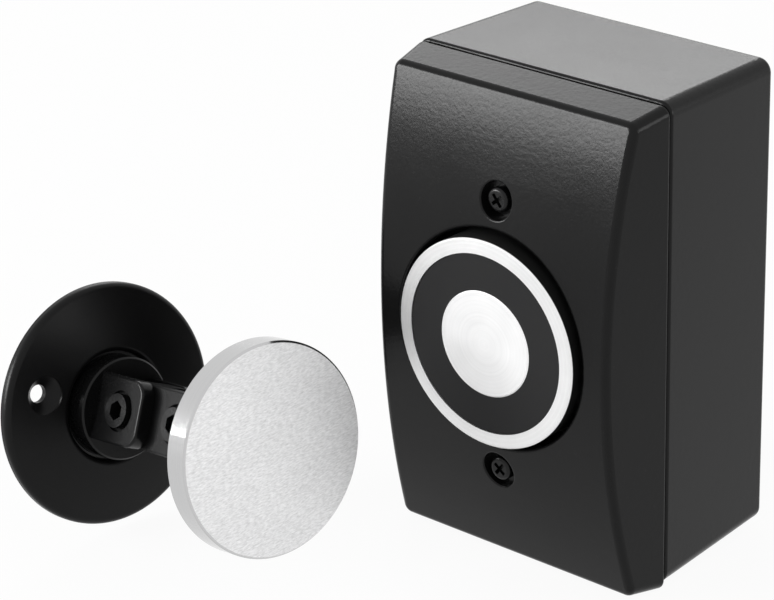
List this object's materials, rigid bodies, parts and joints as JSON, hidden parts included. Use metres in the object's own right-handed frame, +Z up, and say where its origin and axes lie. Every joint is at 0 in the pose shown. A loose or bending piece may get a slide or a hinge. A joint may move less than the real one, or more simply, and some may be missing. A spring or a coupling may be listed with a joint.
{
  "type": "electromagnetic door holder",
  "caption": "Wall box with an arched cover and a round electromagnet, and a flanged door arm whose hinged steel plate the magnet holds to keep a door open.",
  "frame": {"origin": "middle of the box's rear face, on the wall", "axes": "+X to the right seen from the front, +Y into the wall, +Z up"},
  "size_m": [0.1281, 0.1238, 0.1152],
  "materials": {
    "cover_coat": "satin black powder coat with a fine orange-peel texture",
    "knuckle_coat": "semi-gloss black coat",
    "black_screw": "black oxide",
    "pole_steel": "bright plated, turned with fine rings",
    "plate_steel": "ground face with short streaks, polished rim",
    "zinc_steel": "zinc plated",
    "resin": "smooth dark resin",
    "moulding": "moulded nylon",
    "copper": "enamelled copper wire",
    "insulation": "wire insulation"
  },
  "bodies": {
    "wall_and_flange": {"back_box": "cover_coat", "front_cover": "cover_coat", "cover_screws": "black_screw", "mounting_strap": "zinc_steel", "strap_screws": "zinc_steel", "magnet_cup": "pole_steel", "pole_core": "pole_steel", "core_screw": "zinc_steel", "coil_bobbin": "moulding", "coil_winding": "copper", "potting_ring": "resin", "lead_bushing": "moulding", "coil_leads": "insulation", "terminal_block": "moulding", "terminal_screws": "zinc_steel", "door_flange": "knuckle_coat", "retaining_ring": "zinc_steel"},
    "base": {"swivel_base": "knuckle_coat", "friction_washer": "moulding", "base_pivot_screw": "black_screw"},
    "arm": {"swivel_arm": "knuckle_coat", "plate_pivot_screw": "black_screw"},
    "plate": {"plate_knuckle": "knuckle_coat", "catch_plate": "plate_steel"}
  },
  "joints": [
    {"name": "base_swivel", "type": "hinge", "parent": "wall_and_flange", "child": "base", "pos_m": [-0.0871, -0.0915, -0.0287], "axis": [0.9769, -0.1338, 0.1668], "continuous": true},
    {"name": "arm_hinge", "type": "hinge", "parent": "base", "child": "arm", "pos_m": [-0.06971, -0.09388, -0.02573], "axis": [-0.1914, -0.8951, 0.4026], "range_deg": [-45, 45]},
    {"name": "plate_hinge", "type": "hinge", "parent": "arm", "child": "plate", "pos_m": [-0.0534, -0.09612, -0.02295], "axis": [-0.1914, -0.8951, 0.4026], "range_deg": [-45, 45]}
  ]
}
